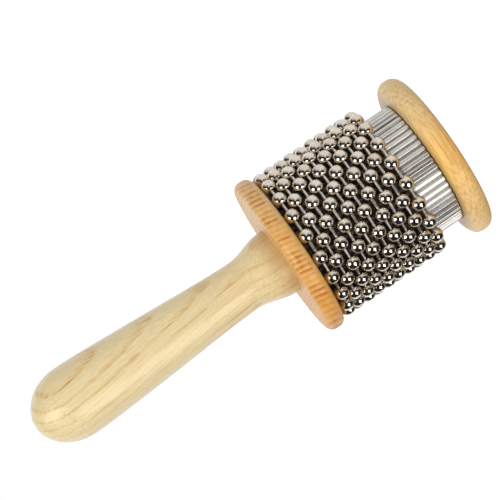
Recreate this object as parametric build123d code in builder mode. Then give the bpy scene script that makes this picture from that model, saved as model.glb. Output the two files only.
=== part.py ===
from build123d import *
import os
from math import cos, hypot, pi, radians, sin, sqrt, tan

# Cabasa: a turned handle on a drum of corrugated steel between two wooden discs,
# with ten loose loops of ball chain round the drum. It stands on the end cap:
# the origin is the middle of the cap's outer face and +Z runs up to the handle's end.
os.makedirs("parts", exist_ok=True)

# End cap, in millimetres like every size here
cap_diameter = 82.0
cap_thickness = 10.8
cap_edge_radius = 4.8

# Handle disc
disc_diameter = 80.0
disc_thickness = 9.0
disc_edge_radius = 2.8

# Drum: a wooden core inside a fluted sheet, whose flutes start at the front, at -Y
drum_length = 70.8
sleeve_diameter = 62.0
sheet_thickness = 0.4
flute_count = 58
flute_depth = 1.1
flute_crest_share = 0.3
flute_valley_share = 0.34
flute_start = -pi / 2
core_fit = 0.05

# Seam of the sheet at the back, with a row of pins in the flute on each side of it
seam_width = 0.3
pin_rows = 3
pin_inset = 6.0
pin_shank_width = 0.7
pin_head_width = 1.0
pin_head_height = 0.35
pin_depth = 9.0
pin_fit = 0.05

# Handle: collar, neck, swelling grip and rounded end, then the tenon in the drum
handle_length = 134.4
collar_diameter = 32.2
collar_height = 2.5
neck_diameter = 24.8
neck_height = 20.5
swell_diameter = 35.0
end_length = 21.5
grip_fullness = 0.55
tenon_diameter = 18.0
tenon_depth = 26.0
tenon_fit = 0.1
tenon_end_gap = 0.5

# Countersunk screw from the cap into the core
screw_length = 38.0
screw_shank_diameter = 4.4
screw_head_diameter = 8.6
screw_head_angle = 90.0
screw_tip_length = 5.0
screw_recess = 0.3
screw_slot_width = 1.1
screw_slot_length = 5.4
screw_slot_depth = 1.5
screw_fit = 0.05

# Ball chain: faceted balls and the wire links between them
loop_count = 10
loop_pitch = 5.6
balls_per_loop = 20
ball_diameter = 6.4
link_width = 1.7
chain_slack = 0.95
chain_end_gap = 0.3

# Heights of the seats along the axis
drum_bottom = cap_thickness
drum_top = drum_bottom + drum_length
handle_base = drum_top + disc_thickness
handle_end = handle_base + handle_length

sleeve_radius = sleeve_diameter / 2
valley_radius = sleeve_radius - flute_depth
core_radius = valley_radius - sheet_thickness - core_fit
tenon_bore_radius = tenon_diameter / 2 + tenon_fit

# Countersink for the screw: its head's cone carried on to the cap's face
head_slope = tan(radians(screw_head_angle / 2))
countersink_radius = screw_head_diameter / 2 + screw_recess * head_slope + screw_fit


# End cap: a bullnosed disc, countersunk in the middle for the screw
with BuildPart() as end_cap:
    with BuildSketch():
        Circle(cap_diameter / 2)
    extrude(amount=cap_thickness)
    rims = end_cap.edges().filter_by(GeomType.CIRCLE)
    fillet(rims, radius=cap_edge_radius)
    with Locations(Plane(origin=(0, 0, 0), z_dir=(0, 0, -1))):
        CounterSinkHole(
            radius=screw_shank_diameter / 2 + screw_fit,
            counter_sink_radius=countersink_radius,
            counter_sink_angle=screw_head_angle,
        )
end_cap.part.label = "end_cap"
export_step(end_cap.part, "parts/end_cap.step")


# Handle disc: eased on both edges, bored through for the tenon
with BuildPart() as handle_disc:
    with BuildSketch(Plane.XY.offset(drum_top)):
        Circle(disc_diameter / 2)
    extrude(amount=disc_thickness)
    rims = handle_disc.edges().filter_by(GeomType.CIRCLE)
    fillet(rims, radius=disc_edge_radius)
    with Locations((0, 0, handle_base)):
        Hole(radius=tenon_bore_radius)
handle_disc.part.label = "handle_disc"
export_step(handle_disc.part, "parts/handle_disc.step")


# Handle: half its outline, turned about the axis. Its end is drawn as a quarter of an ellipse.
ellipse_pull = 4 * (sqrt(2) - 1)
end_chord = hypot(swell_diameter / 2, end_length)
end_reach = (ellipse_pull * end_length / end_chord, ellipse_pull * swell_diameter / 2 / end_chord)
with BuildPart() as handle:
    with BuildSketch(Plane.XZ):
        with BuildLine():
            upright = (0, 1)
            inward = (-1, 0)
            tenon_foot = (0, drum_top - tenon_depth)
            tenon_edge = (tenon_diameter / 2, drum_top - tenon_depth)
            tenon_shoulder = (tenon_diameter / 2, handle_base)
            collar_foot = (collar_diameter / 2, handle_base)
            collar_top = (collar_diameter / 2, handle_base + collar_height)
            neck = (neck_diameter / 2, handle_base + neck_height)
            swell = (swell_diameter / 2, handle_end - end_length)
            crown = (0, handle_end)
            Polyline(tenon_foot, tenon_edge, tenon_shoulder, collar_foot, collar_top)
            Spline(collar_top, neck, tangents=(upright, upright))
            Spline(neck, swell, tangents=(upright, upright), tangent_scalars=(grip_fullness, grip_fullness))
            Spline(swell, crown, tangents=(upright, inward), tangent_scalars=end_reach)
            Line(crown, tenon_foot)
        make_face()
    revolve(axis=Axis.Z)
handle.part.label = "handle"
export_step(handle.part, "parts/handle.step")


# Seam pins: a small flat head lying in a flute, and a shank driven through the sheet into the core
flute_step = 2 * pi / flute_count
seam_angle = flute_start + flute_step * round(flute_count / 2)
pin_angles = [seam_angle - flute_step / 2, seam_angle + flute_step / 2]
pin_spacing = (drum_length - 2 * pin_inset) / max(pin_rows - 1, 1)
pin_heights = [drum_bottom + pin_inset + pin_spacing * row for row in range(pin_rows)]
pin_seat = valley_radius * cos(flute_valley_share * flute_step / 2)


def pin_plane(angle, height, reach):
    """Plane across a pin's axis, at a distance from the drum's axis."""
    outward = Vector(cos(angle), sin(angle), 0)
    return Plane(origin=outward * reach + Vector(0, 0, height), x_dir=(0, 0, 1), z_dir=outward)


pin_places = [(angle, height) for angle in pin_angles for height in pin_heights]
with BuildPart() as seam_pins:
    for angle, height in pin_places:
        with BuildSketch(pin_plane(angle, height, pin_seat)):
            Rectangle(pin_head_width, pin_head_width)
        extrude(amount=pin_head_height)
        with BuildSketch(pin_plane(angle, height, pin_seat)):
            Rectangle(pin_shank_width, pin_shank_width)
        extrude(amount=-pin_depth)
seam_pins.part.label = "seam_pins"
export_step(seam_pins.part, "parts/seam_pins.step")


# Drum core: the tenon's socket at the top, the screw's pilot hole at the bottom, the pins' holes at the back
with BuildPart() as drum_core:
    with BuildSketch(Plane.XY.offset(drum_bottom)):
        Circle(core_radius)
    extrude(amount=drum_length)
    with Locations((0, 0, drum_top)):
        Hole(radius=tenon_bore_radius, depth=tenon_depth + tenon_end_gap)
    with Locations(Plane(origin=(0, 0, drum_bottom), z_dir=(0, 0, -1))):
        Hole(
            radius=screw_shank_diameter / 2 + screw_fit,
            depth=screw_length + screw_recess + screw_fit - cap_thickness,
        )
    for angle, height in pin_places:
        with BuildSketch(pin_plane(angle, height, pin_seat)):
            Rectangle(pin_shank_width + 2 * pin_fit, pin_shank_width + 2 * pin_fit)
        extrude(amount=-pin_depth - pin_fit, mode=Mode.SUBTRACT)
drum_core.part.label = "drum_core"
export_step(drum_core.part, "parts/drum_core.step")


# Corrugated sleeve: flat crests and valleys joined by sloping flanks, open at the seam
def flute_outline(crest_radius):
    """Corners of the fluted outline, four to a flute, for one face of the sheet."""
    corners = []
    for flute in range(flute_count):
        for share, radius in (
            (-flute_crest_share / 2, crest_radius),
            (flute_crest_share / 2, crest_radius),
            (0.5 - flute_valley_share / 2, crest_radius - flute_depth),
            (0.5 + flute_valley_share / 2, crest_radius - flute_depth),
        ):
            angle = flute_start + flute_step * (flute + share)
            corners.append((radius * cos(angle), radius * sin(angle)))
    return corners


with BuildPart() as corrugated_sleeve:
    with BuildSketch(Plane.XY.offset(drum_bottom)):
        with BuildLine():
            Polyline(*flute_outline(sleeve_radius), close=True)
        make_face()
        with BuildLine():
            Polyline(*flute_outline(sleeve_radius - sheet_thickness), close=True)
        make_face(mode=Mode.SUBTRACT)
    extrude(amount=drum_length)
    seam_middle = drum_bottom + drum_length / 2
    with BuildSketch(pin_plane(seam_angle, seam_middle, core_radius)):
        Rectangle(drum_length, seam_width)
    extrude(amount=sleeve_radius, mode=Mode.SUBTRACT)
    for angle, height in pin_places:
        with BuildSketch(pin_plane(angle, height, core_radius)):
            Rectangle(pin_shank_width + 2 * pin_fit, pin_shank_width + 2 * pin_fit)
        extrude(amount=sleeve_radius, mode=Mode.SUBTRACT)
corrugated_sleeve.part.label = "corrugated_sleeve"
export_step(corrugated_sleeve.part, "parts/corrugated_sleeve.step")


# Cap screw: a cone head sunk below the cap's face, a plain shank and a pointed tip
screw_head_radius = screw_head_diameter / 2
screw_shank_radius = screw_shank_diameter / 2
screw_top = screw_recess
screw_cone_height = (screw_head_radius - screw_shank_radius) / head_slope
screw_tip = screw_top + screw_length
with BuildPart() as cap_screw:
    with BuildSketch(Plane.XZ):
        with BuildLine():
            Polyline(
                (0, screw_top),
                (screw_head_radius, screw_top),
                (screw_shank_radius, screw_top + screw_cone_height),
                (screw_shank_radius, screw_tip - screw_tip_length),
                (0, screw_tip),
                close=True,
            )
        make_face()
    revolve(axis=Axis.Z)
    with BuildSketch(Plane.XY.offset(screw_top)):
        Rectangle(screw_slot_length, screw_slot_width)
        Rectangle(screw_slot_width, screw_slot_length)
    extrude(amount=screw_slot_depth, mode=Mode.SUBTRACT)
cap_screw.part.label = "cap_screw"
export_step(cap_screw.part, "parts/cap_screw.step")


# One ball: a cube with every edge cut back until all its edges are equal, which leaves 26 flats
ball_cut = ball_diameter * (1 - 1 / (1 + sqrt(2))) / 2
with BuildPart() as ball:
    Box(ball_diameter, ball_diameter, ball_diameter)
    chamfer(ball.edges(), length=ball_cut)

# One link across the X axis, from the flat of one ball to the facing flat of the next
chain_radius = sleeve_radius + chain_slack + ball_diameter / 2
ball_step = 2 * pi / balls_per_loop
link_corners = []
for side in (-1, 1):
    angle = side * ball_step / 2
    outward = Vector(cos(angle), sin(angle))
    onward = Vector(-sin(angle), cos(angle))
    flat_middle = outward * chain_radius - onward * side * ball_diameter / 2
    for face in (-side, side):
        link_corners.append(flat_middle - outward * face * link_width / 2)
with BuildPart() as link:
    with BuildSketch():
        with BuildLine():
            Polyline(*link_corners, close=True)
        make_face()
    extrude(amount=link_width / 2, both=True)

# Ten loops, from the handle disc down, each turned half a ball step from its neighbour
ball_turn = 360 / balls_per_loop
first_loop_height = drum_top - chain_end_gap - ball_diameter / 2
for loop in range(loop_count):
    loop_height = first_loop_height - loop_pitch * loop
    loop_turn = ball_turn / 2 * (loop % 2)
    loop_name = f"chain_loop_{loop + 1:02d}"
    with BuildPart() as loop_balls:
        with Locations((0, 0, loop_height)):
            with PolarLocations(chain_radius, balls_per_loop, start_angle=loop_turn):
                add(ball.part)
    loop_balls.part.label = f"{loop_name}_balls"
    export_step(loop_balls.part, f"parts/{loop_name}_balls.step")
    with BuildPart() as loop_links:
        with Locations((0, 0, loop_height)):
            with PolarLocations(0, balls_per_loop, start_angle=loop_turn + ball_turn / 2):
                add(link.part)
    loop_links.part.label = f"{loop_name}_links"
    export_step(loop_links.part, f"parts/{loop_name}_links.step")
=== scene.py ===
from math import cos, hypot, pi, radians, sin, sqrt
from random import Random

import bmesh
import bpy
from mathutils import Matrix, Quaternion, Vector


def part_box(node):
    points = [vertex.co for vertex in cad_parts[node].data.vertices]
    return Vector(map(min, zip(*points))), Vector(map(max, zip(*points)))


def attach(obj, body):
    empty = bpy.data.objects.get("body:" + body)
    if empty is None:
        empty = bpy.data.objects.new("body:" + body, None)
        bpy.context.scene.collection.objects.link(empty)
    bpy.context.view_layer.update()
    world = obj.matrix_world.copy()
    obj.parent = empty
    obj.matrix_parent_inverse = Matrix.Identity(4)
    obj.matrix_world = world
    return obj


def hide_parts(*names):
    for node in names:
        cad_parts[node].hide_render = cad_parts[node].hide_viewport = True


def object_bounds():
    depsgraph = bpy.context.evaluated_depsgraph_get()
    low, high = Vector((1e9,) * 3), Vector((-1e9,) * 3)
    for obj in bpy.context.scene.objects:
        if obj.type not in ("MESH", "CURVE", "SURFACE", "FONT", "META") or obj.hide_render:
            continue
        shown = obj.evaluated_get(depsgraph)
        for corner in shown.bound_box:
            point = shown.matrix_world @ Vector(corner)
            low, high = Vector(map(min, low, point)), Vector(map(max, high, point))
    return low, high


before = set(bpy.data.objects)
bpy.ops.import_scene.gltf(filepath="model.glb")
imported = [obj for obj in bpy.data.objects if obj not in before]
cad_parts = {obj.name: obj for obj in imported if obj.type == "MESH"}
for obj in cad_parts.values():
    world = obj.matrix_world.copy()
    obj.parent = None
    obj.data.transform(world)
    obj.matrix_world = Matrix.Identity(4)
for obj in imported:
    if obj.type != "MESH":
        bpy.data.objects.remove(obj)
cad_low, cad_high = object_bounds()

# Sizes in metres, read from the frame where it holds them
MM = 0.001
cap_low, cap_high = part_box("end_cap")
disc_low, disc_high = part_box("handle_disc")
handle_low, handle_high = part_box("handle")
sleeve_low, sleeve_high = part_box("corrugated_sleeve")
screw_low, screw_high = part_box("cap_screw")
ball_low, ball_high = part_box("chain_loop_01_balls")

CAP_EDGE = 4.8 * MM
DISC_EDGE = 3.6 * MM
RIM_SIDES = 128
RIM_STEPS = 8
FLAT_HOLD = 0.5 * MM

COLLAR_RADIUS = 16.1 * MM
COLLAR_HEIGHT = 2.5 * MM
NECK_RADIUS = 12.4 * MM
NECK_HEIGHT = 20.5 * MM
END_LENGTH = 21.5 * MM
GRIP_FULLNESS = 0.55
TENON_RADIUS = 9.0 * MM
TENON_CLEARANCE = 0.1 * MM
ROUND_PULL = 4 / 3 * (sqrt(2) - 1)
OUTLINE_STEPS = 12
TURNING_STEPS = 96

FLUTES = 58
# How far each corner of half a flute lies below the crest, from mid-crest to mid-valley
FLUTE_DROPS = [drop * MM for drop in (0, 0, 0, 0.01, 0.19, 0.52, 0.86, 1.1)]
SHEET_THICKNESS = 0.4 * MM
SEAM_WIDTH = 0.3 * MM

PIN_SIDES = 12
PIN_HEAD_RADIUS = 0.65 * MM
PIN_HEAD_HEIGHT = 0.4 * MM
PIN_HEAD_ROUNDING = 0.6 * PIN_HEAD_HEIGHT
PIN_SHANK_RADIUS = 0.35 * MM
PIN_DEPTH = 9.0 * MM
PIN_ROWS = 3
PIN_INSET = 6.0 * MM

SCREW_SIDES = 40
SCREW_SHANK_RADIUS = 2.2 * MM
SCREW_TIP_LENGTH = 5.0 * MM
SCREW_CLEARANCE = 0.05 * MM
SCREW_HEAD_EASE = 0.2 * MM
SLOT_LENGTH = 5.4 * MM
SLOT_WIDTH = 1.1 * MM
SLOT_DEPTH = 1.5 * MM
SLOT_TAPER = 0.6

LOOPS = 10
BALLS_PER_LOOP = 20
BALL_TURN = 2 * pi / BALLS_PER_LOOP
BALL_RADIUS = 3.66 * MM
BALL_CUTS = 2
BALL_PLAY = 0.25 * MM
PLAY_SEED = 7
PICK_RADIUS = 1.05 * BALL_RADIUS
CHAIN_RADIUS = ball_high.x - (ball_high.z - ball_low.z) / 2
LINK_RADIUS = 0.8 * MM
LINK_SIDES = 8
LINK_WAIST = 0.88
WAIST_SPREAD = 1.4

TINY = 0.01 * MM


# Modelling helpers
def begin():
    """Leaves edit mode and deselects everything, ready for a new piece."""
    if bpy.context.mode != "OBJECT":
        bpy.ops.object.mode_set(mode="OBJECT")
    bpy.ops.object.select_all(action="DESELECT")


def take_up(piece):
    """Makes a piece the only one selected, and active."""
    begin()
    piece.select_set(True)
    bpy.context.view_layer.objects.active = piece


def settle():
    """Puts the active piece's place into its mesh."""
    bpy.ops.object.transform_apply(location=True, rotation=True, scale=True)


def edit():
    """Opens the active piece in edit mode with everything selected."""
    bpy.ops.object.mode_set(mode="EDIT")
    bpy.ops.mesh.select_all(action="SELECT")


def choose(kind, test):
    """Selects, in edit mode, the vertices, edges or faces whose corners pass a test."""
    bpy.ops.mesh.select_mode(type=kind)
    bpy.ops.mesh.select_all(action="DESELECT")
    mesh = bpy.context.object.data
    shape = bmesh.from_edit_mesh(mesh)
    items = {"VERT": shape.verts, "EDGE": shape.edges, "FACE": shape.faces}[kind]
    for item in items:
        corners = [item.co] if kind == "VERT" else [v.co for v in item.verts]
        if test(corners):
            item.select_set(True)
    bmesh.update_edit_mesh(mesh)


def at_height(corners, height):
    """True where every corner lies at one height."""
    return all(abs(c.z - height) < TINY for c in corners)


def flat_within(height, radius):
    """A test for flat faces at one height that keep within a radius."""
    def test(corners):
        return at_height(corners, height) and all(hypot(c.x, c.y) < radius + TINY for c in corners)
    return test


def apply_modifier(kind, **settings):
    """Adds a modifier to the active piece and applies it."""
    bpy.ops.object.mode_set(mode="OBJECT")
    modifier = bpy.context.object.modifiers.new(kind.lower(), kind)
    for key, value in settings.items():
        setattr(modifier, key, value)
    bpy.ops.object.modifier_apply(modifier=modifier.name)


def place_piece(name, material, body, nodes, smooth_angle=40):
    """Finishes the active piece: its name, shading, material, body and the nodes it stands for."""
    bpy.ops.object.mode_set(mode="OBJECT")
    settle()
    bpy.ops.object.shade_smooth_by_angle(angle=radians(smooth_angle))
    piece = bpy.context.object
    piece.name = name
    piece.data.name = name
    piece.data.materials.clear()
    piece.data.materials.append(material)
    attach(piece, body)
    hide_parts(*nodes)


# Node helpers
def tone(red, green, blue):
    """A colour as it is seen, in 8-bit steps, turned into the linear values of a socket."""
    linear = []
    for value in (red / 255, green / 255, blue / 255):
        linear.append(value / 12.92 if value <= 0.04045 else ((value + 0.055) / 1.055) ** 2.4)
    return (*linear, 1.0)


def add(tree, kind, inputs=None, **settings):
    """Adds a node. An input that is another node's socket is linked, any other is set."""
    made = tree.nodes.new(kind)
    for key, value in settings.items():
        setattr(made, key, value)
    for key, value in (inputs or {}).items():
        if isinstance(value, bpy.types.NodeSocket):
            tree.links.new(value, made.inputs[key])
        else:
            made.inputs[key].default_value = value
    return made


def calc(tree, operation, first, second=0.0):
    """One sum with one or two values."""
    return add(tree, "ShaderNodeMath", {0: first, 1: second}, operation=operation).outputs[0]


def away(tree, value, middle):
    """How far a value is from a middle, to either side."""
    return calc(tree, "ABSOLUTE", calc(tree, "SUBTRACT", value, middle))


def between(tree, value, start, end, low=0.0, high=1.0):
    """A value carried smoothly from one range to another."""
    inputs = {"Value": value, "From Min": start, "From Max": end, "To Min": low, "To Max": high}
    made = add(tree, "ShaderNodeMapRange", inputs, interpolation_type="SMOOTHSTEP")
    return made.outputs["Result"]


def choice(tree, share, first, second):
    """A value that goes from the first to the second with a share."""
    return add(tree, "ShaderNodeMix", {0: share, 2: first, 3: second}, data_type="FLOAT").outputs[0]


def mixed(tree, share, first, second, blend="MIX"):
    """A colour that goes from the first to the second with a share."""
    inputs = {0: share, 6: first, 7: second}
    return add(tree, "ShaderNodeMix", inputs, data_type="RGBA", blend_type=blend).outputs[2]


def scaled(tree, vector, x, y, z):
    """A vector with each of its parts multiplied."""
    factors = add(tree, "ShaderNodeCombineXYZ", {"X": x, "Y": y, "Z": z}).outputs[0]
    return add(tree, "ShaderNodeVectorMath", {0: vector, 1: factors}, operation="MULTIPLY").outputs[0]


def off_axis(tree, vector):
    """How far a place is from the Z axis."""
    level = scaled(tree, vector, 1, 1, 0)
    return add(tree, "ShaderNodeVectorMath", {0: level}, operation="LENGTH").outputs["Value"]


def noise(tree, vector, scale, detail=1):
    """A noise field from 0 to 1."""
    inputs = {"Vector": vector, "Scale": scale, "Detail": detail}
    return add(tree, "ShaderNodeTexNoise", inputs).outputs["Fac"]


def object_place(tree, turn=(0, 0, 0)):
    """Object coordinates, turned so that a pattern's length runs along Z."""
    coordinates = add(tree, "ShaderNodeTexCoord").outputs["Object"]
    angles = tuple(radians(a) for a in turn)
    return add(tree, "ShaderNodeMapping", {"Vector": coordinates, "Rotation": angles}).outputs["Vector"]


def new_material(name):
    """A material with a bare Principled shader, and its node tree."""
    material = bpy.data.materials.new(name)
    material.use_nodes = True
    return material, material.node_tree, material.node_tree.nodes["Principled BSDF"]


def new_group(name, vectors, values):
    """An empty node group with vector and value inputs, and the sockets that lead into it."""
    group = bpy.data.node_groups.new(name, "ShaderNodeTree")
    for names, kind in ((vectors, "NodeSocketVector"), (values, "NodeSocketFloat")):
        for socket in names:
            group.interface.new_socket(name=socket, in_out="INPUT", socket_type=kind)
    return group, group.nodes.new("NodeGroupInput").outputs


def put_out(group, masks):
    """Gives a node group its outputs, by name."""
    for name in masks:
        group.interface.new_socket(name=name, in_out="OUTPUT", socket_type="NodeSocketFloat")
    add(group, "NodeGroupOutput", masks)


# Wood figure: how far each pattern is drawn out along Z, its scale, and the noise where it starts and is full
RING_STRETCH = 0.1
WANDER_SCALE = 42
TONE_SCALE = 24
TONE_ON = (0.3, 0.7)
FAINTEST_RING = 0.35
EARLY_OVER_LATE = 3.0
DASH_ON = (0.38, 0.6)
FLECK_ON = (0.42, 0.7)
FIBRE_STRETCH = 0.035
FIBRE_ON = (0.3, 0.7)
PORE_STRETCH = 0.06
PORE_SCALE = 0.8
PORE_ON = (0.56, 0.66)
PORES_OFF_LINES = 0.1


def make_wood_figure():
    """Growth rings about a pith, broken into dashes, with flecks, fibres and pores along Z."""
    group, given = new_group("wood_figure", ("Vector", "Pith"), (
        "Ring Width", "Waviness", "Line Share", "Line Keep", "Dash Width", "Dash Stretch", "Dash Rest",
        "Fibre Width"))
    place = given["Vector"]

    slow = scaled(group, place, 1, 1, RING_STRETCH)
    wander = calc(group, "SUBTRACT", noise(group, slow, WANDER_SCALE, 2), 0.5)
    wander = calc(group, "MULTIPLY", wander, given["Waviness"])
    from_pith = {0: place, 1: given["Pith"]}
    from_pith = add(group, "ShaderNodeVectorMath", from_pith, operation="SUBTRACT").outputs[0]
    growth = calc(group, "ADD", off_axis(group, from_pith), wander)
    rings = calc(group, "DIVIDE", growth, given["Ring Width"])
    in_ring = calc(group, "FRACT", rings)
    ring_number = {"W": calc(group, "FLOOR", rings)}
    ring_shade = add(group, "ShaderNodeTexWhiteNoise", ring_number, noise_dimensions="1D").outputs["Value"]

    dash_scale = calc(group, "DIVIDE", 1.0, given["Dash Width"])
    dashes = noise(group, scaled(group, place, 1, 1, given["Dash Stretch"]), dash_scale)
    fibre_scale = calc(group, "DIVIDE", 1.0, given["Fibre Width"])
    fibres = noise(group, scaled(group, place, 1, 1, FIBRE_STRETCH), fibre_scale, 3)
    pore_scale = calc(group, "MULTIPLY", fibre_scale, PORE_SCALE)
    pores = noise(group, scaled(group, place, 1, 1, PORE_STRETCH), pore_scale)

    early = between(group, in_ring, 0.0, given["Line Share"], 1.0, 0.0)
    late_share = calc(group, "DIVIDE", given["Line Share"], EARLY_OVER_LATE)
    late = between(group, in_ring, calc(group, "SUBTRACT", 1.0, late_share), 1.0)
    lines = calc(group, "MAXIMUM", early, late)
    lines = calc(group, "MULTIPLY", lines, between(group, ring_shade, 0.0, 1.0, FAINTEST_RING, 1.0))
    lines = calc(group, "MULTIPLY", lines, between(group, dashes, *DASH_ON, given["Dash Rest"], 1.0))
    lines = calc(group, "MULTIPLY", lines, given["Line Keep"])
    pores = between(group, pores, *PORE_ON)
    pores = calc(group, "MULTIPLY", pores, calc(group, "ADD", lines, PORES_OFF_LINES))
    put_out(group, {
        "Lines": lines, "Flecks": between(group, dashes, *FLECK_ON), "Pores": pores, "Fibres": fibres,
        "Tone": noise(group, slow, TONE_SCALE)})
    return group


# Lacquered woods
FIBRE_WIDTH = 0.5 * MM
FIBRE_SHADES = (0.94, 1.04)
FIBRE_RELIEF = 0.4
RELIEF_STRENGTH = 0.12
RELIEF_DEPTH = 0.2 * MM
MARK_STRETCH = 0.06
MARK_STRENGTH = 0.5
LACQUER_WEIGHT = 0.25
LACQUER_ROUGHNESS = 0.22
SATIN = (0.36, 0.5)
GLOSSY = (0.18, 0.3)
OUTSIDE_BAND = 0.15

wood_figure = make_wood_figure()


def make_wood(
        name, colours, turn, pith, rings, dashes, depths, band=None, deep=None, marks=None, gloss=SATIN):
    """A lacquered wood: pale wood with broken ring lines, flecks, pores in the lines and fibres all over.

    Colours are the pale wood, its shadow, the ring line and the pore. Rings are their width, waviness and
    the share of it that the line takes. Dashes are their width, stretch and what is left of a line between
    them. Depths are those of line, fleck and pore. A band is the middle and half height to which the ring
    lines keep. Deep is an axis, the place on it where a second tone is strongest, its reach, the tone and
    its share. Marks are the spacing and depth of the rings that turning leaves round the axis. Gloss is the
    least and greatest roughness.
    """
    material, tree, shader = new_material(name)
    pale, shadow, line, pore = colours
    ring_width, waviness, line_share = rings
    dash_width, dash_stretch, dash_rest = dashes
    line_depth, fleck_depth, pore_depth = depths
    place = object_place(tree)
    axes = add(tree, "ShaderNodeSeparateXYZ", {"Vector": place}).outputs
    line_keep = 1.0
    if band:
        middle, half_height = band
        off_middle = away(tree, axes["Z"], middle)
        line_keep = between(tree, off_middle, half_height / 2, half_height, 1.0, OUTSIDE_BAND)
    figure = add(tree, "ShaderNodeGroup", {
        "Vector": object_place(tree, turn), "Pith": pith, "Ring Width": ring_width, "Waviness": waviness,
        "Line Share": line_share, "Line Keep": line_keep, "Dash Width": dash_width,
        "Dash Stretch": dash_stretch, "Dash Rest": dash_rest, "Fibre Width": FIBRE_WIDTH,
    }, node_tree=wood_figure).outputs

    colour = mixed(tree, between(tree, figure["Tone"], *TONE_ON), pale, shadow)
    if deep:
        axis, middle, reach, deep_tone, share = deep
        strength = between(tree, away(tree, axes[axis], middle), 0.0, reach, share, 0.0)
        colour = mixed(tree, strength, colour, deep_tone)
    colour = mixed(tree, calc(tree, "MULTIPLY", figure["Flecks"], fleck_depth), colour, line)
    colour = mixed(tree, calc(tree, "MULTIPLY", figure["Lines"], line_depth), colour, line)
    colour = mixed(tree, calc(tree, "MULTIPLY", figure["Pores"], pore_depth), colour, pore)
    streak = between(tree, figure["Fibres"], *FIBRE_ON, *FIBRE_SHADES)
    streak = add(tree, "ShaderNodeCombineColor", {0: streak, 1: streak, 2: streak}).outputs[0]
    tree.links.new(mixed(tree, 1.0, colour, streak, "MULTIPLY"), shader.inputs["Base Color"])
    tree.links.new(between(tree, figure["Fibres"], *FIBRE_ON, *gloss), shader.inputs["Roughness"])

    height = calc(tree, "MULTIPLY", figure["Fibres"], FIBRE_RELIEF)
    height = calc(tree, "SUBTRACT", height, figure["Pores"])
    relief = {"Height": height, "Strength": RELIEF_STRENGTH, "Distance": RELIEF_DEPTH}
    if marks:
        spacing, depth = marks
        ripple = noise(tree, scaled(tree, place, MARK_STRETCH, MARK_STRETCH, 1), 1 / spacing)
        ripple = {"Height": ripple, "Strength": MARK_STRENGTH, "Distance": depth}
        relief["Normal"] = add(tree, "ShaderNodeBump", ripple).outputs["Normal"]
    tree.links.new(add(tree, "ShaderNodeBump", relief).outputs["Normal"], shader.inputs["Normal"])
    shader.inputs["Coat Weight"].default_value = LACQUER_WEIGHT
    shader.inputs["Coat Roughness"].default_value = LACQUER_ROUGHNESS
    return material


# The handle's second tone is painted shade: the wood is painted darker beside the disc.
handle_wood = make_wood(
    "handle_ash", (tone(241, 224, 180), tone(236, 213, 162), tone(212, 167, 80), tone(190, 140, 58)),
    turn=(0, 6, 0), pith=(-78.8 * MM, 65.5 * MM, 0), rings=(4.2 * MM, 2.5 * MM, 0.34),
    dashes=(1.2 * MM, 0.035, 0.45), depths=(0.6, 0.1, 0.9),
    deep=("Z", disc_high.z, 12.0 * MM, tone(178, 140, 74), 0.5), marks=(1.8 * MM, 0.35 * MM), gloss=GLOSSY)
disc_wood = make_wood(
    "disc_beech", (tone(240, 199, 132), tone(234, 180, 98), tone(186, 98, 0), tone(150, 80, 0)),
    turn=(90, 0, 4), pith=(350.0 * MM, 0, 0), rings=(2.4 * MM, 1.2 * MM, 0.75),
    dashes=(3.2 * MM, 0.18, 0.6), depths=(1.0, 0.12, 0.5),
    band=((disc_low.z + disc_high.z) / 2 + 1.0 * MM, 4.2 * MM),
    deep=("X", disc_low.x * 0.8, 46.0 * MM, tone(236, 160, 46), 0.7))
cap_wood = make_wood(
    "cap_golden", (tone(249, 222, 168), tone(242, 206, 140), tone(214, 142, 56), tone(182, 112, 42)),
    turn=(0, -90, 0), pith=(100.0 * MM, 15.0 * MM, 0), rings=(2.0 * MM, 2.0 * MM, 0.4),
    dashes=(1.3 * MM, 0.1, 0.3), depths=(0.45, 0.3, 0.5),
    deep=("X", cap_low.x * 0.15, 36.0 * MM, tone(252, 196, 98), 0.8))
core_wood = make_wood(
    "core_pine", (tone(222, 192, 142), tone(214, 178, 124), tone(196, 150, 92), tone(170, 122, 70)),
    turn=(0, 0, 0), pith=(50.0 * MM, 20.0 * MM, 0), rings=(4.0 * MM, 2.0 * MM, 0.4),
    dashes=(2.0 * MM, 0.18, 0.2), depths=(0.6, 0.2, 0.4))


# Metal wear: a little tarnish, and fine scratches in the finish
SCRATCH_SCALE = 1400
SCRATCH_ON = (0.3, 0.7)
SCRATCH_ROUGHNESS = 0.03
SMUDGE_SCALE = 120
SMUDGE_ON = (0.4, 0.75)


def make_metal_wear():
    """Smudges of tarnish as a mask, and scratches, drawn out along Z, as a change in roughness."""
    group, given = new_group("metal_wear", ("Vector",), ("Scratch Stretch",))
    scratched = scaled(group, given["Vector"], 1, 1, given["Scratch Stretch"])
    scratches = noise(group, scratched, SCRATCH_SCALE, 2)
    smudges = noise(group, given["Vector"], SMUDGE_SCALE, 2)
    put_out(group, {
        "Scratches": between(group, scratches, *SCRATCH_ON, -SCRATCH_ROUGHNESS, SCRATCH_ROUGHNESS),
        "Smudges": between(group, smudges, *SMUDGE_ON)})
    return group


metal_wear = make_metal_wear()


def make_metal(name, bright, dull, roughness, scratch_stretch=1.0):
    """A bare metal. Gives the material, its tree, its shader, and the colour and finish it starts from."""
    material, tree, shader = new_material(name)
    inputs = {"Vector": object_place(tree), "Scratch Stretch": scratch_stretch}
    wear = add(tree, "ShaderNodeGroup", inputs, node_tree=metal_wear).outputs
    shade = mixed(tree, wear["Smudges"], bright, dull)
    finish = calc(tree, "ADD", wear["Scratches"], roughness)
    tree.links.new(shade, shader.inputs["Base Color"])
    tree.links.new(finish, shader.inputs["Roughness"])
    shader.inputs["Metallic"].default_value = 1.0
    return material, tree, shader, shade, finish
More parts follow.
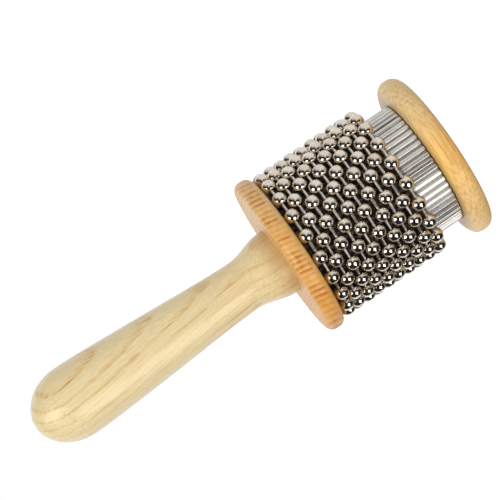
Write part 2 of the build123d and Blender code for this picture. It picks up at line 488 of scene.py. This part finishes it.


# Sheet steel: drops below the crest where valleys get painted grey shade, painted shade at both ends, and the
# zone under the chain, painted darker and made duller
VALLEY_DROPS = (0.7 * MM, 0.1 * MM)
VALLEY_SHADE_SHARE = 0.35
# Heights over which the painted joint shade at each end of the sheet is full and then gone
JOINT_SHADE_HEIGHTS = (0.2 * MM, 0.8 * MM)
# Zone under the chain: where it starts, its blur, the share of painted shade and the added roughness
UNDER_CHAIN_LOW = 26.0 * MM
UNDER_CHAIN_BLUR = 1.5 * MM
CHAIN_SHADE_SHARE = 0.9
UNDER_CHAIN_ROUGHNESS = 0.25
FILMED_METALLIC = 0.8


def make_sheet_steel():
    """Bright sheet under a thin grey film, with painted shade: greyer in valleys, darker at both ends, darker
    and duller under the chain.
    """
    material, tree, shader, shade, finish = make_metal(
        "sheet_steel", tone(218, 215, 209), tone(206, 202, 195), roughness=0.19, scratch_stretch=0.02)
    place = object_place(tree)
    height = add(tree, "ShaderNodeSeparateXYZ", {"Vector": place}).outputs["Z"]
    # Painted shade: the flute valleys are painted greyer than the crests.
    valley, crest = (sleeve_high.y - drop for drop in VALLEY_DROPS)
    valley_shade = between(tree, off_axis(tree, place), valley, crest, VALLEY_SHADE_SHARE, 0.0)
    # Painted shade where the sheet meets the cap and the disc: a dark band at each end.
    full_shade, no_shade = JOINT_SHADE_HEIGHTS
    low_joint_shade = between(tree, height, sleeve_low.z + full_shade, sleeve_low.z + no_shade, 1.0, 0.0)
    high_joint_shade = between(tree, height, sleeve_high.z - no_shade, sleeve_high.z - full_shade)
    # Painted shade under the chain: the sheet is painted dark there, and made rougher.
    under_chain = between(tree, height, UNDER_CHAIN_LOW - UNDER_CHAIN_BLUR, UNDER_CHAIN_LOW + UNDER_CHAIN_BLUR)
    # Painted shade, mixed in below: grey in the valleys, dark under the chain, darker still at both ends.
    shade = mixed(tree, valley_shade, shade, tone(104, 100, 94))
    shade = mixed(tree, calc(tree, "MULTIPLY", under_chain, CHAIN_SHADE_SHARE), shade, tone(82, 66, 56))
    shade = mixed(tree, calc(tree, "MAXIMUM", low_joint_shade, high_joint_shade), shade, tone(52, 40, 32))
    tree.links.new(shade, shader.inputs["Base Color"])
    finish = calc(tree, "ADD", finish, calc(tree, "MULTIPLY", under_chain, UNDER_CHAIN_ROUGHNESS))
    tree.links.new(finish, shader.inputs["Roughness"])
    shader.inputs["Metallic"].default_value = FILMED_METALLIC
    return material


sheet_steel = make_sheet_steel()
pin_steel = make_metal("pin_steel", tone(190, 188, 184), tone(160, 157, 150), roughness=0.3)[0]
screw_steel = make_metal("screw_zinc", tone(206, 204, 198), tone(176, 172, 160), roughness=0.28)[0]
ball_nickel = make_metal("ball_nickel", tone(238, 228, 214), tone(226, 214, 198), roughness=0.09)[0]
link_wire = make_metal("link_wire", tone(247, 241, 234), tone(232, 225, 217), roughness=0.3)[0]


# Handle: half its outline as a curve, made a mesh and spun about the axis
def make_handle():
    base = disc_high.z
    swell_radius = handle_high.x
    swell_height = handle_high.z - END_LENGTH
    collar_pull = hypot(COLLAR_RADIUS - NECK_RADIUS, NECK_HEIGHT - COLLAR_HEIGHT) / 3
    grip_pull = hypot(swell_radius - NECK_RADIUS, swell_height - base - NECK_HEIGHT) / 3 * GRIP_FULLNESS
    # Each point's radius and height, then how far the curve is pulled out before it and after it
    outline = [
        ((0, handle_low.z), (0, 0), (0, 0)),
        ((TENON_RADIUS, handle_low.z), (0, 0), (0, 0)),
        ((TENON_RADIUS, base), (0, 0), (0, 0)),
        ((COLLAR_RADIUS, base), (0, 0), (0, 0)),
        ((COLLAR_RADIUS, base + COLLAR_HEIGHT), (0, 0), (0, collar_pull)),
        ((NECK_RADIUS, base + NECK_HEIGHT), (0, -collar_pull), (0, grip_pull)),
        ((swell_radius, swell_height), (0, -grip_pull), (0, ROUND_PULL * END_LENGTH)),
        ((0, handle_high.z), (ROUND_PULL * swell_radius, 0), (0, 0)),
    ]
    begin()
    bpy.ops.curve.primitive_bezier_curve_add(location=(0, 0, 0))
    curve = bpy.context.object.data
    spline = curve.splines[0]
    spline.bezier_points.add(len(outline) - len(spline.bezier_points))
    for point, ((radius, height), before, after) in zip(spline.bezier_points, outline):
        point.handle_left_type = "FREE"
        point.handle_right_type = "FREE"
        point.co = (radius, 0, height)
        point.handle_left = (radius + before[0], 0, height + before[1])
        point.handle_right = (radius + after[0], 0, height + after[1])
    curve.resolution_u = OUTLINE_STEPS
    bpy.ops.object.convert(target="MESH")
    edit()
    bpy.ops.mesh.spin(steps=TURNING_STEPS, angle=2 * pi, center=(0, 0, 0), axis=(0, 0, 1))
    bpy.ops.mesh.select_all(action="SELECT")
    bpy.ops.mesh.remove_doubles(threshold=TINY / 10)
    bpy.ops.mesh.normals_make_consistent(inside=False)
    place_piece("turned_handle", handle_wood, "drum_and_handle", ["handle"])


# Discs: a cylinder with both rims rounded over, a held flat on each face and a bore through the middle
def make_rounded_disc(low, high, edge):
    begin()
    middle = (0, 0, (low.z + high.z) / 2)
    bpy.ops.mesh.primitive_cylinder_add(
        vertices=RIM_SIDES, radius=high.x, depth=high.z - low.z, location=middle)
    settle()
    edit()
    choose("EDGE", lambda c: abs(c[0].z - c[1].z) < TINY)
    bpy.ops.mesh.bevel(offset=edge, segments=RIM_STEPS, profile=0.5)
    choose("FACE", lambda c: at_height(c, low.z) or at_height(c, high.z))
    bpy.ops.mesh.inset(thickness=FLAT_HOLD)


def make_handle_disc():
    make_rounded_disc(disc_low, disc_high, DISC_EDGE)
    flat_radius = disc_high.x - DISC_EDGE - FLAT_HOLD
    under, over = flat_within(disc_low.z, flat_radius), flat_within(disc_high.z, flat_radius)
    choose("FACE", lambda c: under(c) or over(c))
    bpy.ops.mesh.inset(thickness=flat_radius - TENON_RADIUS - TENON_CLEARANCE)
    bpy.ops.mesh.bridge_edge_loops()
    place_piece("beech_disc", disc_wood, "drum_and_handle", ["handle_disc"])


def make_end_cap():
    make_rounded_disc(cap_low, cap_high, CAP_EDGE)
    flat_radius = cap_high.x - CAP_EDGE - FLAT_HOLD
    bore_radius = SCREW_SHANK_RADIUS + SCREW_CLEARANCE
    mouth_radius = screw_high.x + SCREW_CLEARANCE + screw_low.z
    sink = mouth_radius - bore_radius
    shrink = bore_radius / mouth_radius
    choose("FACE", flat_within(cap_high.z, flat_radius))
    bpy.ops.mesh.inset(thickness=flat_radius - bore_radius)
    choose("FACE", flat_within(cap_low.z, flat_radius))
    bpy.ops.mesh.inset(thickness=flat_radius - mouth_radius)
    bpy.ops.mesh.extrude_region_move(TRANSFORM_OT_translate={"value": (0, 0, sink)})
    bpy.ops.transform.resize(value=(shrink, shrink, 1), center_override=(0, 0, sink))
    sunk, inner = flat_within(sink, bore_radius), flat_within(cap_high.z, bore_radius)
    choose("FACE", lambda c: sunk(c) or inner(c))
    bpy.ops.mesh.bridge_edge_loops()
    place_piece("golden_cap", cap_wood, "drum_and_handle", ["end_cap"])


# Cap screw: a cone head drawn out into the shank and its point, with a cross cut into the head
def make_cap_screw():
    head_radius = screw_high.x
    cone_height = head_radius - SCREW_SHANK_RADIUS
    shank_height = screw_high.z - screw_low.z - cone_height - SCREW_TIP_LENGTH
    slot_bottom = screw_low.z + SLOT_DEPTH
    begin()
    bpy.ops.mesh.primitive_cone_add(
        vertices=SCREW_SIDES, radius1=head_radius, radius2=SCREW_SHANK_RADIUS, depth=cone_height,
        location=(0, 0, screw_low.z + cone_height / 2))
    settle()
    edit()
    choose("FACE", lambda c: at_height(c, screw_low.z + cone_height))
    bpy.ops.mesh.extrude_region_move(TRANSFORM_OT_translate={"value": (0, 0, shank_height)})
    bpy.ops.mesh.extrude_region_move(TRANSFORM_OT_translate={"value": (0, 0, SCREW_TIP_LENGTH)})
    bpy.ops.mesh.merge(type="CENTER")
    choose("EDGE", lambda c: at_height(c, screw_low.z))
    bpy.ops.mesh.bevel(offset=SCREW_HEAD_EASE, segments=2, profile=0.5)
    screw = bpy.context.object
    for length, width in ((SLOT_LENGTH, SLOT_WIDTH), (SLOT_WIDTH, SLOT_LENGTH)):
        begin()
        bpy.ops.mesh.primitive_cube_add(size=1, location=(0, 0, screw_low.z))
        cutter = bpy.context.object
        bpy.ops.transform.resize(value=(length, width, 2 * SLOT_DEPTH))
        settle()
        edit()
        choose("FACE", lambda c: at_height(c, slot_bottom))
        bpy.ops.transform.resize(value=(SLOT_TAPER, SLOT_TAPER, 1), center_override=(0, 0, slot_bottom))
        take_up(screw)
        apply_modifier("BOOLEAN", object=cutter, operation="DIFFERENCE", solver="EXACT")
        bpy.data.meshes.remove(cutter.data)
    place_piece(
        "countersunk_screw", screw_steel, "drum_and_handle", ["cap_screw"], smooth_angle=30)


# Corrugated sheet: a ring pulled in to the flutes, opened at the seam, raised, smoothed and thickened
def make_sleeve():
    crest_radius = sleeve_high.y
    half_flute = len(FLUTE_DROPS)
    corners = FLUTES * 2 * half_flute
    half_step = pi / corners
    begin()
    bpy.ops.mesh.primitive_circle_add(
        vertices=corners, radius=crest_radius, location=(0, 0, sleeve_low.z), rotation=(0, 0, half_step))
    settle()
    edit()

    def corner_in_flute(corner):
        turns = Vector((corner.x, corner.y)).angle_signed(Vector((0, 1))) / (2 * pi) * FLUTES
        return int(abs(turns - round(turns)) * 2 * half_flute)

    for number, drop in enumerate(FLUTE_DROPS):
        choose("VERT", lambda c: corner_in_flute(c[0]) == number)
        scale = 1 - drop / crest_radius
        bpy.ops.transform.resize(value=(scale, scale, 1), center_override=(0, 0, 0))
    seam_x = crest_radius * sin(half_step)
    seam_reach = 1.5 * seam_x
    choose("EDGE", lambda c: c[0].y > 0 and abs(c[0].x + c[1].x) < TINY and abs(c[0].x) < seam_reach)
    bpy.ops.mesh.delete(type="EDGE")
    choose("VERT", lambda c: c[0].y > 0 and abs(c[0].x) < seam_reach)
    bpy.ops.transform.resize(value=(SEAM_WIDTH / 2 / seam_x, 1, 1), center_override=(0, 0, 0))
    bpy.ops.mesh.select_all(action="SELECT")
    bpy.ops.mesh.extrude_edges_move(TRANSFORM_OT_translate={"value": (0, 0, sleeve_high.z - sleeve_low.z)})
    bpy.ops.mesh.select_all(action="SELECT")
    bpy.ops.mesh.normals_make_consistent(inside=False)
    apply_modifier("SUBSURF", levels=1, render_levels=1)
    apply_modifier("SOLIDIFY", thickness=SHEET_THICKNESS, offset=-1)
    place_piece("fluted_sheet", sheet_steel, "drum_and_handle", ["corrugated_sleeve"])


# Seam pins: small nails with rounded heads, in the flute on each side of the seam
def make_seam_pins():
    valley_radius = sleeve_high.y - FLUTE_DROPS[-1]
    flute_turn = pi / FLUTES
    first_height = sleeve_low.z + PIN_INSET
    spacing = (sleeve_high.z - sleeve_low.z - 2 * PIN_INSET) / (PIN_ROWS - 1)
    begin()
    bpy.ops.mesh.primitive_cylinder_add(
        vertices=PIN_SIDES, radius=PIN_HEAD_RADIUS, depth=PIN_HEAD_HEIGHT,
        location=(0, valley_radius + PIN_HEAD_HEIGHT / 2, first_height), rotation=(-pi / 2, 0, 0))
    settle()
    edit()
    choose("FACE", lambda c: all(abs(v.y - valley_radius - PIN_HEAD_HEIGHT) < TINY for v in c))
    bpy.ops.mesh.bevel(offset=PIN_HEAD_ROUNDING, segments=2, profile=0.5)
    choose("FACE", lambda c: all(abs(v.y - valley_radius) < TINY for v in c))
    bpy.ops.mesh.inset(thickness=PIN_HEAD_RADIUS - PIN_SHANK_RADIUS)
    bpy.ops.mesh.extrude_region_move(TRANSFORM_OT_translate={"value": (0, -PIN_DEPTH, 0)})
    bpy.ops.mesh.select_all(action="SELECT")
    bpy.ops.transform.rotate(value=flute_turn, orient_axis="Z", center_override=(0, 0, 0))
    for _ in range(PIN_ROWS - 1):
        bpy.ops.mesh.duplicate()
        bpy.ops.transform.translate(value=(0, 0, spacing))
    bpy.ops.mesh.select_all(action="SELECT")
    bpy.ops.mesh.duplicate()
    bpy.ops.transform.rotate(value=-2 * flute_turn, orient_axis="Z", center_override=(0, 0, 0))
    place_piece("seam_nails", pin_steel, "drum_and_handle", ["seam_pins"])


# Ball chain: one ball and one link, copied to every place of every loop
def make_ball():
    """A ball at the origin: a cube cut up, drawn out to a sphere and brought to its size."""
    begin()
    bpy.ops.mesh.primitive_cube_add(size=2 * BALL_RADIUS)
    edit()
    bpy.ops.mesh.subdivide(number_cuts=BALL_CUTS)
    bpy.ops.transform.tosphere(value=1)
    bpy.ops.object.mode_set(mode="OBJECT")
    ball = bpy.context.object
    size = BALL_RADIUS / ball.data.vertices[0].co.length
    edit()
    bpy.ops.transform.resize(value=(size, size, size), center_override=(0, 0, 0))
    return ball


def make_link():
    """A link at height 0, halfway between two balls: a short round wire with a waist."""
    span = 2 * CHAIN_RADIUS * sin(BALL_TURN / 2) - BALL_RADIUS
    reach = CHAIN_RADIUS * cos(BALL_TURN / 2)
    begin()
    bpy.ops.mesh.primitive_cylinder_add(
        vertices=LINK_SIDES, radius=LINK_RADIUS, depth=span, location=(reach, 0, 0), rotation=(pi / 2, 0, 0))
    settle()
    edit()
    choose("EDGE", lambda c: abs(c[0].y - c[1].y) > span / 2)
    bpy.ops.mesh.subdivide(number_cuts=2)
    choose("VERT", lambda c: abs(c[0].y) < span / 4)
    bpy.ops.transform.resize(value=(LINK_WAIST, WAIST_SPREAD, LINK_WAIST), center_override=(reach, 0, 0))
    return bpy.context.object


def open_copy(pattern):
    """Copies a pattern, with a mesh of its own, and opens the copy with everything selected."""
    take_up(pattern)
    bpy.ops.object.duplicate(linked=False)
    edit()


def copy_round_loop():
    """Copies what is selected to all the other places of its loop."""
    copies = BALLS_PER_LOOP - 1
    bpy.ops.mesh.spin(steps=copies, angle=BALL_TURN * copies, dupli=True, center=(0, 0, 0), axis=(0, 0, 1))


def make_chain():
    ball, link = make_ball(), make_link()
    hand = Random(PLAY_SEED)
    for loop in range(1, LOOPS + 1):
        body = f"chain_loop_{loop:02d}"
        low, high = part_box(f"{body}_balls")
        height = (low.z + high.z) / 2
        turn = BALL_TURN / 2 * ((loop - 1) % 2)
        towards_cap = 0 if loop == LOOPS else -BALL_PLAY
        towards_disc = 0 if loop == 1 else BALL_PLAY
        open_copy(ball)
        bpy.ops.transform.translate(value=(CHAIN_RADIUS * cos(turn), CHAIN_RADIUS * sin(turn), height))
        copy_round_loop()
        for number in range(BALLS_PER_LOOP):
            angle = turn + number * BALL_TURN
            out = Vector((cos(angle), sin(angle), 0))
            middle = out * CHAIN_RADIUS + Vector((0, 0, height))
            choose("VERT", lambda c: (c[0] - middle).length < PICK_RADIUS)
            sideways = Vector((-out.y, out.x, 0)) * hand.uniform(-BALL_PLAY, BALL_PLAY)
            lengthways = Vector((0, 0, hand.uniform(towards_cap, towards_disc)))
            bpy.ops.transform.translate(value=sideways + lengthways)
        place_piece(
            f"nickel_balls_{loop:02d}", ball_nickel, body, [f"{body}_balls"], smooth_angle=180)

        open_copy(link)
        bpy.ops.transform.translate(value=(0, 0, height))
        bpy.ops.transform.rotate(value=turn + BALL_TURN / 2, orient_axis="Z", center_override=(0, 0, 0))
        copy_round_loop()
        place_piece(
            f"wire_links_{loop:02d}", link_wire, body, [f"{body}_links"], smooth_angle=60)
    for pattern in (ball, link):
        bpy.data.meshes.remove(pattern.data)


make_handle()
make_handle_disc()
make_end_cap()
make_cap_screw()
make_sleeve()
make_seam_pins()
make_chain()
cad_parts["drum_core"].data.materials.clear()
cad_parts["drum_core"].data.materials.append(core_wood)


# Camera: beside the drum, a little towards the handle's end, rolled so that the handle points down left
CAMERA_BEARING = radians(-94.6)
CAMERA_HEIGHT = radians(4.0)
CAMERA_ROLL = radians(-124.3)
CAMERA_DISTANCE = 1.211
CAMERA_LENS = 191.5
SENSOR_WIDTH = 36
FARTHEST_SEEN = 50
AIM_HEIGHT = 0.102
AIM_RIGHT = -0.0046
AIM_UP = 0.0111

camera_back = Vector((
    cos(CAMERA_HEIGHT) * cos(CAMERA_BEARING), cos(CAMERA_HEIGHT) * sin(CAMERA_BEARING), sin(CAMERA_HEIGHT)))
camera_turn = camera_back.to_track_quat("Z", "Y") @ Quaternion((0, 0, 1), CAMERA_ROLL)
camera_right = camera_turn @ Vector((1, 0, 0))
camera_up = camera_turn @ Vector((0, 1, 0))
camera_aim = Vector((0, 0, AIM_HEIGHT)) + camera_right * AIM_RIGHT + camera_up * AIM_UP
begin()
bpy.ops.object.camera_add(
    location=camera_aim + camera_back * CAMERA_DISTANCE, rotation=camera_turn.to_euler())
camera = bpy.context.object
camera.data.lens = CAMERA_LENS
camera.data.sensor_width = SENSOR_WIDTH
camera.data.clip_end = FARTHEST_SEEN
bpy.context.scene.camera = camera


# Studio floor and lamps
FLOOR_SIDE = 8
FLOOR_COLOUR = (0.8, 0.8, 0.79, 1)
FLOOR_GLOW = 0.78


def make_floor():
    """A white floor that keeps the object's shadow. Metal looks through it at the room."""
    begin()
    bpy.ops.mesh.primitive_plane_add(size=FLOOR_SIDE, location=(0, 0, cad_low.z))
    floor = bpy.context.object
    floor.name = "studio_floor"
    material = bpy.data.materials.new("floor_white")
    material.use_nodes = True
    tree = material.node_tree
    tree.nodes.clear()
    path = add(tree, "ShaderNodeLightPath").outputs
    seen = calc(tree, "MAXIMUM", path["Is Camera Ray"], path["Is Transmission Ray"])
    diffuse = add(tree, "ShaderNodeBsdfDiffuse", {"Color": FLOOR_COLOUR}).outputs[0]
    glow = add(tree, "ShaderNodeEmission", {"Strength": calc(tree, "MULTIPLY", seen, FLOOR_GLOW)}).outputs[0]
    white = add(tree, "ShaderNodeAddShader", {0: diffuse, 1: glow}).outputs[0]
    clear = add(tree, "ShaderNodeBsdfTransparent").outputs[0]
    both = add(tree, "ShaderNodeMixShader", {0: path["Is Glossy Ray"], 1: white, 2: clear}).outputs[0]
    add(tree, "ShaderNodeOutputMaterial", {"Surface": both}, is_active_output=True)
    floor.data.materials.append(material)


def soft_box(name, direction, distance, side, power):
    """A square area light that stands in a direction given as right, up and back of the camera."""
    right, up, back = direction
    towards = (camera_right * right + camera_up * up + camera_back * back).normalized()
    begin()
    turn = towards.to_track_quat("Z", "Y").to_euler()
    bpy.ops.object.light_add(type="AREA", location=camera_aim + towards * distance, rotation=turn)
    light = bpy.context.object
    light.name = name
    light.data.size = side
    light.data.energy = power
    light.visible_glossy = False


# Room that the metals reflect, placed by how far a direction goes right, up or back as the camera sees it
CEILING_EDGE = (0.16, 0.86)
CEILING_LEVELS = (0.02, 0.82)
CEILING_DIP = 0.34
DIP_EDGE = (0.04, 0.34)
BACKDROP_EDGE = (-0.6, -0.2)
BACKDROP_LEVEL = 0.95
UNDER_FLOOR_EDGE = (-0.45, -0.1)
UNDER_FLOOR_SHARE = 0.3
LEFT_PANEL = (-0.64, 0.19)
RIGHT_PANEL = (0.55, 0.17)
PANEL_BLUR = 0.06
PANEL_HEIGHT = -0.42
PANEL_TOP_EDGE = (0.22, 0.3)
PANEL_FRONT_EDGE = (0.0, 0.15)
PANEL_LEVEL = 2.6
FILL_LEVEL = 0.55
WHITE_LEVEL = 1.0


def make_world():
    """A white background for the camera, an even fill for light, and the room for reflections."""
    world = bpy.context.scene.world or bpy.data.worlds.new("studio")
    bpy.context.scene.world = world
    world.use_nodes = True
    tree = world.node_tree
    tree.nodes.clear()
    path = add(tree, "ShaderNodeLightPath").outputs
    direction = add(tree, "ShaderNodeTexCoord").outputs["Generated"]

    def towards(axis):
        inputs = {0: direction, 1: axis}
        return add(tree, "ShaderNodeVectorMath", inputs, operation="DOT_PRODUCT").outputs["Value"]

    right, up, back = towards(camera_right), towards(camera_up), towards(camera_back)
    dip = between(tree, away(tree, right, 0.0), *DIP_EDGE, CEILING_DIP, 0.0)
    ceiling = between(tree, calc(tree, "ADD", up, dip), *CEILING_EDGE, *CEILING_LEVELS)
    backdrop = between(tree, back, *BACKDROP_EDGE, BACKDROP_LEVEL, 0.0)
    under_floor = between(tree, towards((0, 0, 1)), *UNDER_FLOOR_EDGE, UNDER_FLOOR_SHARE, 1.0)
    backdrop = calc(tree, "MULTIPLY", backdrop, under_floor)

    def panel(middle, half_width):
        return between(tree, away(tree, right, middle), half_width, half_width + PANEL_BLUR, 1.0, 0.0)

    panels = calc(tree, "ADD", panel(*LEFT_PANEL), panel(*RIGHT_PANEL))
    in_height = between(tree, away(tree, up, PANEL_HEIGHT), *PANEL_TOP_EDGE, 1.0, 0.0)
    panels = calc(tree, "MULTIPLY", panels, in_height)
    in_front = between(tree, back, *PANEL_FRONT_EDGE, 0.0, PANEL_LEVEL)
    panels = calc(tree, "MULTIPLY", panels, in_front)
    room = calc(tree, "ADD", calc(tree, "MAXIMUM", ceiling, backdrop), panels)
    level = choice(tree, path["Is Glossy Ray"], FILL_LEVEL, room)
    seen = calc(tree, "MAXIMUM", path["Is Camera Ray"], path["Is Transmission Ray"])
    level = choice(tree, seen, level, WHITE_LEVEL)
    background = add(tree, "ShaderNodeBackground", {"Color": (1, 1, 1, 1), "Strength": level}).outputs[0]
    add(tree, "ShaderNodeOutputWorld", {"Surface": background})


make_floor()
soft_box("left_soft_box", direction=(-0.56, -0.37, 0.73), distance=1.1, side=0.58, power=4.5)
soft_box("low_soft_box", direction=(0.32, -0.52, 0.79), distance=1.1, side=0.5, power=2.5)
make_world()
bpy.context.scene.view_settings.view_transform = "Standard"
